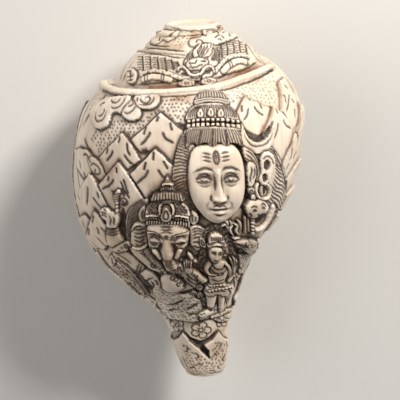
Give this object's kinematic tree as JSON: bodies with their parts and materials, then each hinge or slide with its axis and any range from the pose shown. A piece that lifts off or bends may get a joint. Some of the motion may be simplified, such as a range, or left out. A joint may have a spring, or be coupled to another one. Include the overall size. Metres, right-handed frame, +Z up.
{
  "type": "carved sacred chank shell",
  "caption": "Heavy spindle-shaped sea shell, its back carved in relief with a deity, an elephant-headed figure and mountains; lies on its mouth.",
  "frame": {"origin": "middle of the shell's box in plan, on the surface it lies on", "axes": "+Z up through the carved back, +Y along the shell's axis to the cut-off apex, +X to the carved scene's right"},
  "size_m": [0.1204, 0.1876, 0.1069],
  "materials": {
    "shell": "satin"
  },
  "bodies": {
    "root": {"chank_shell": "shell"}
  },
  "joints": []
}
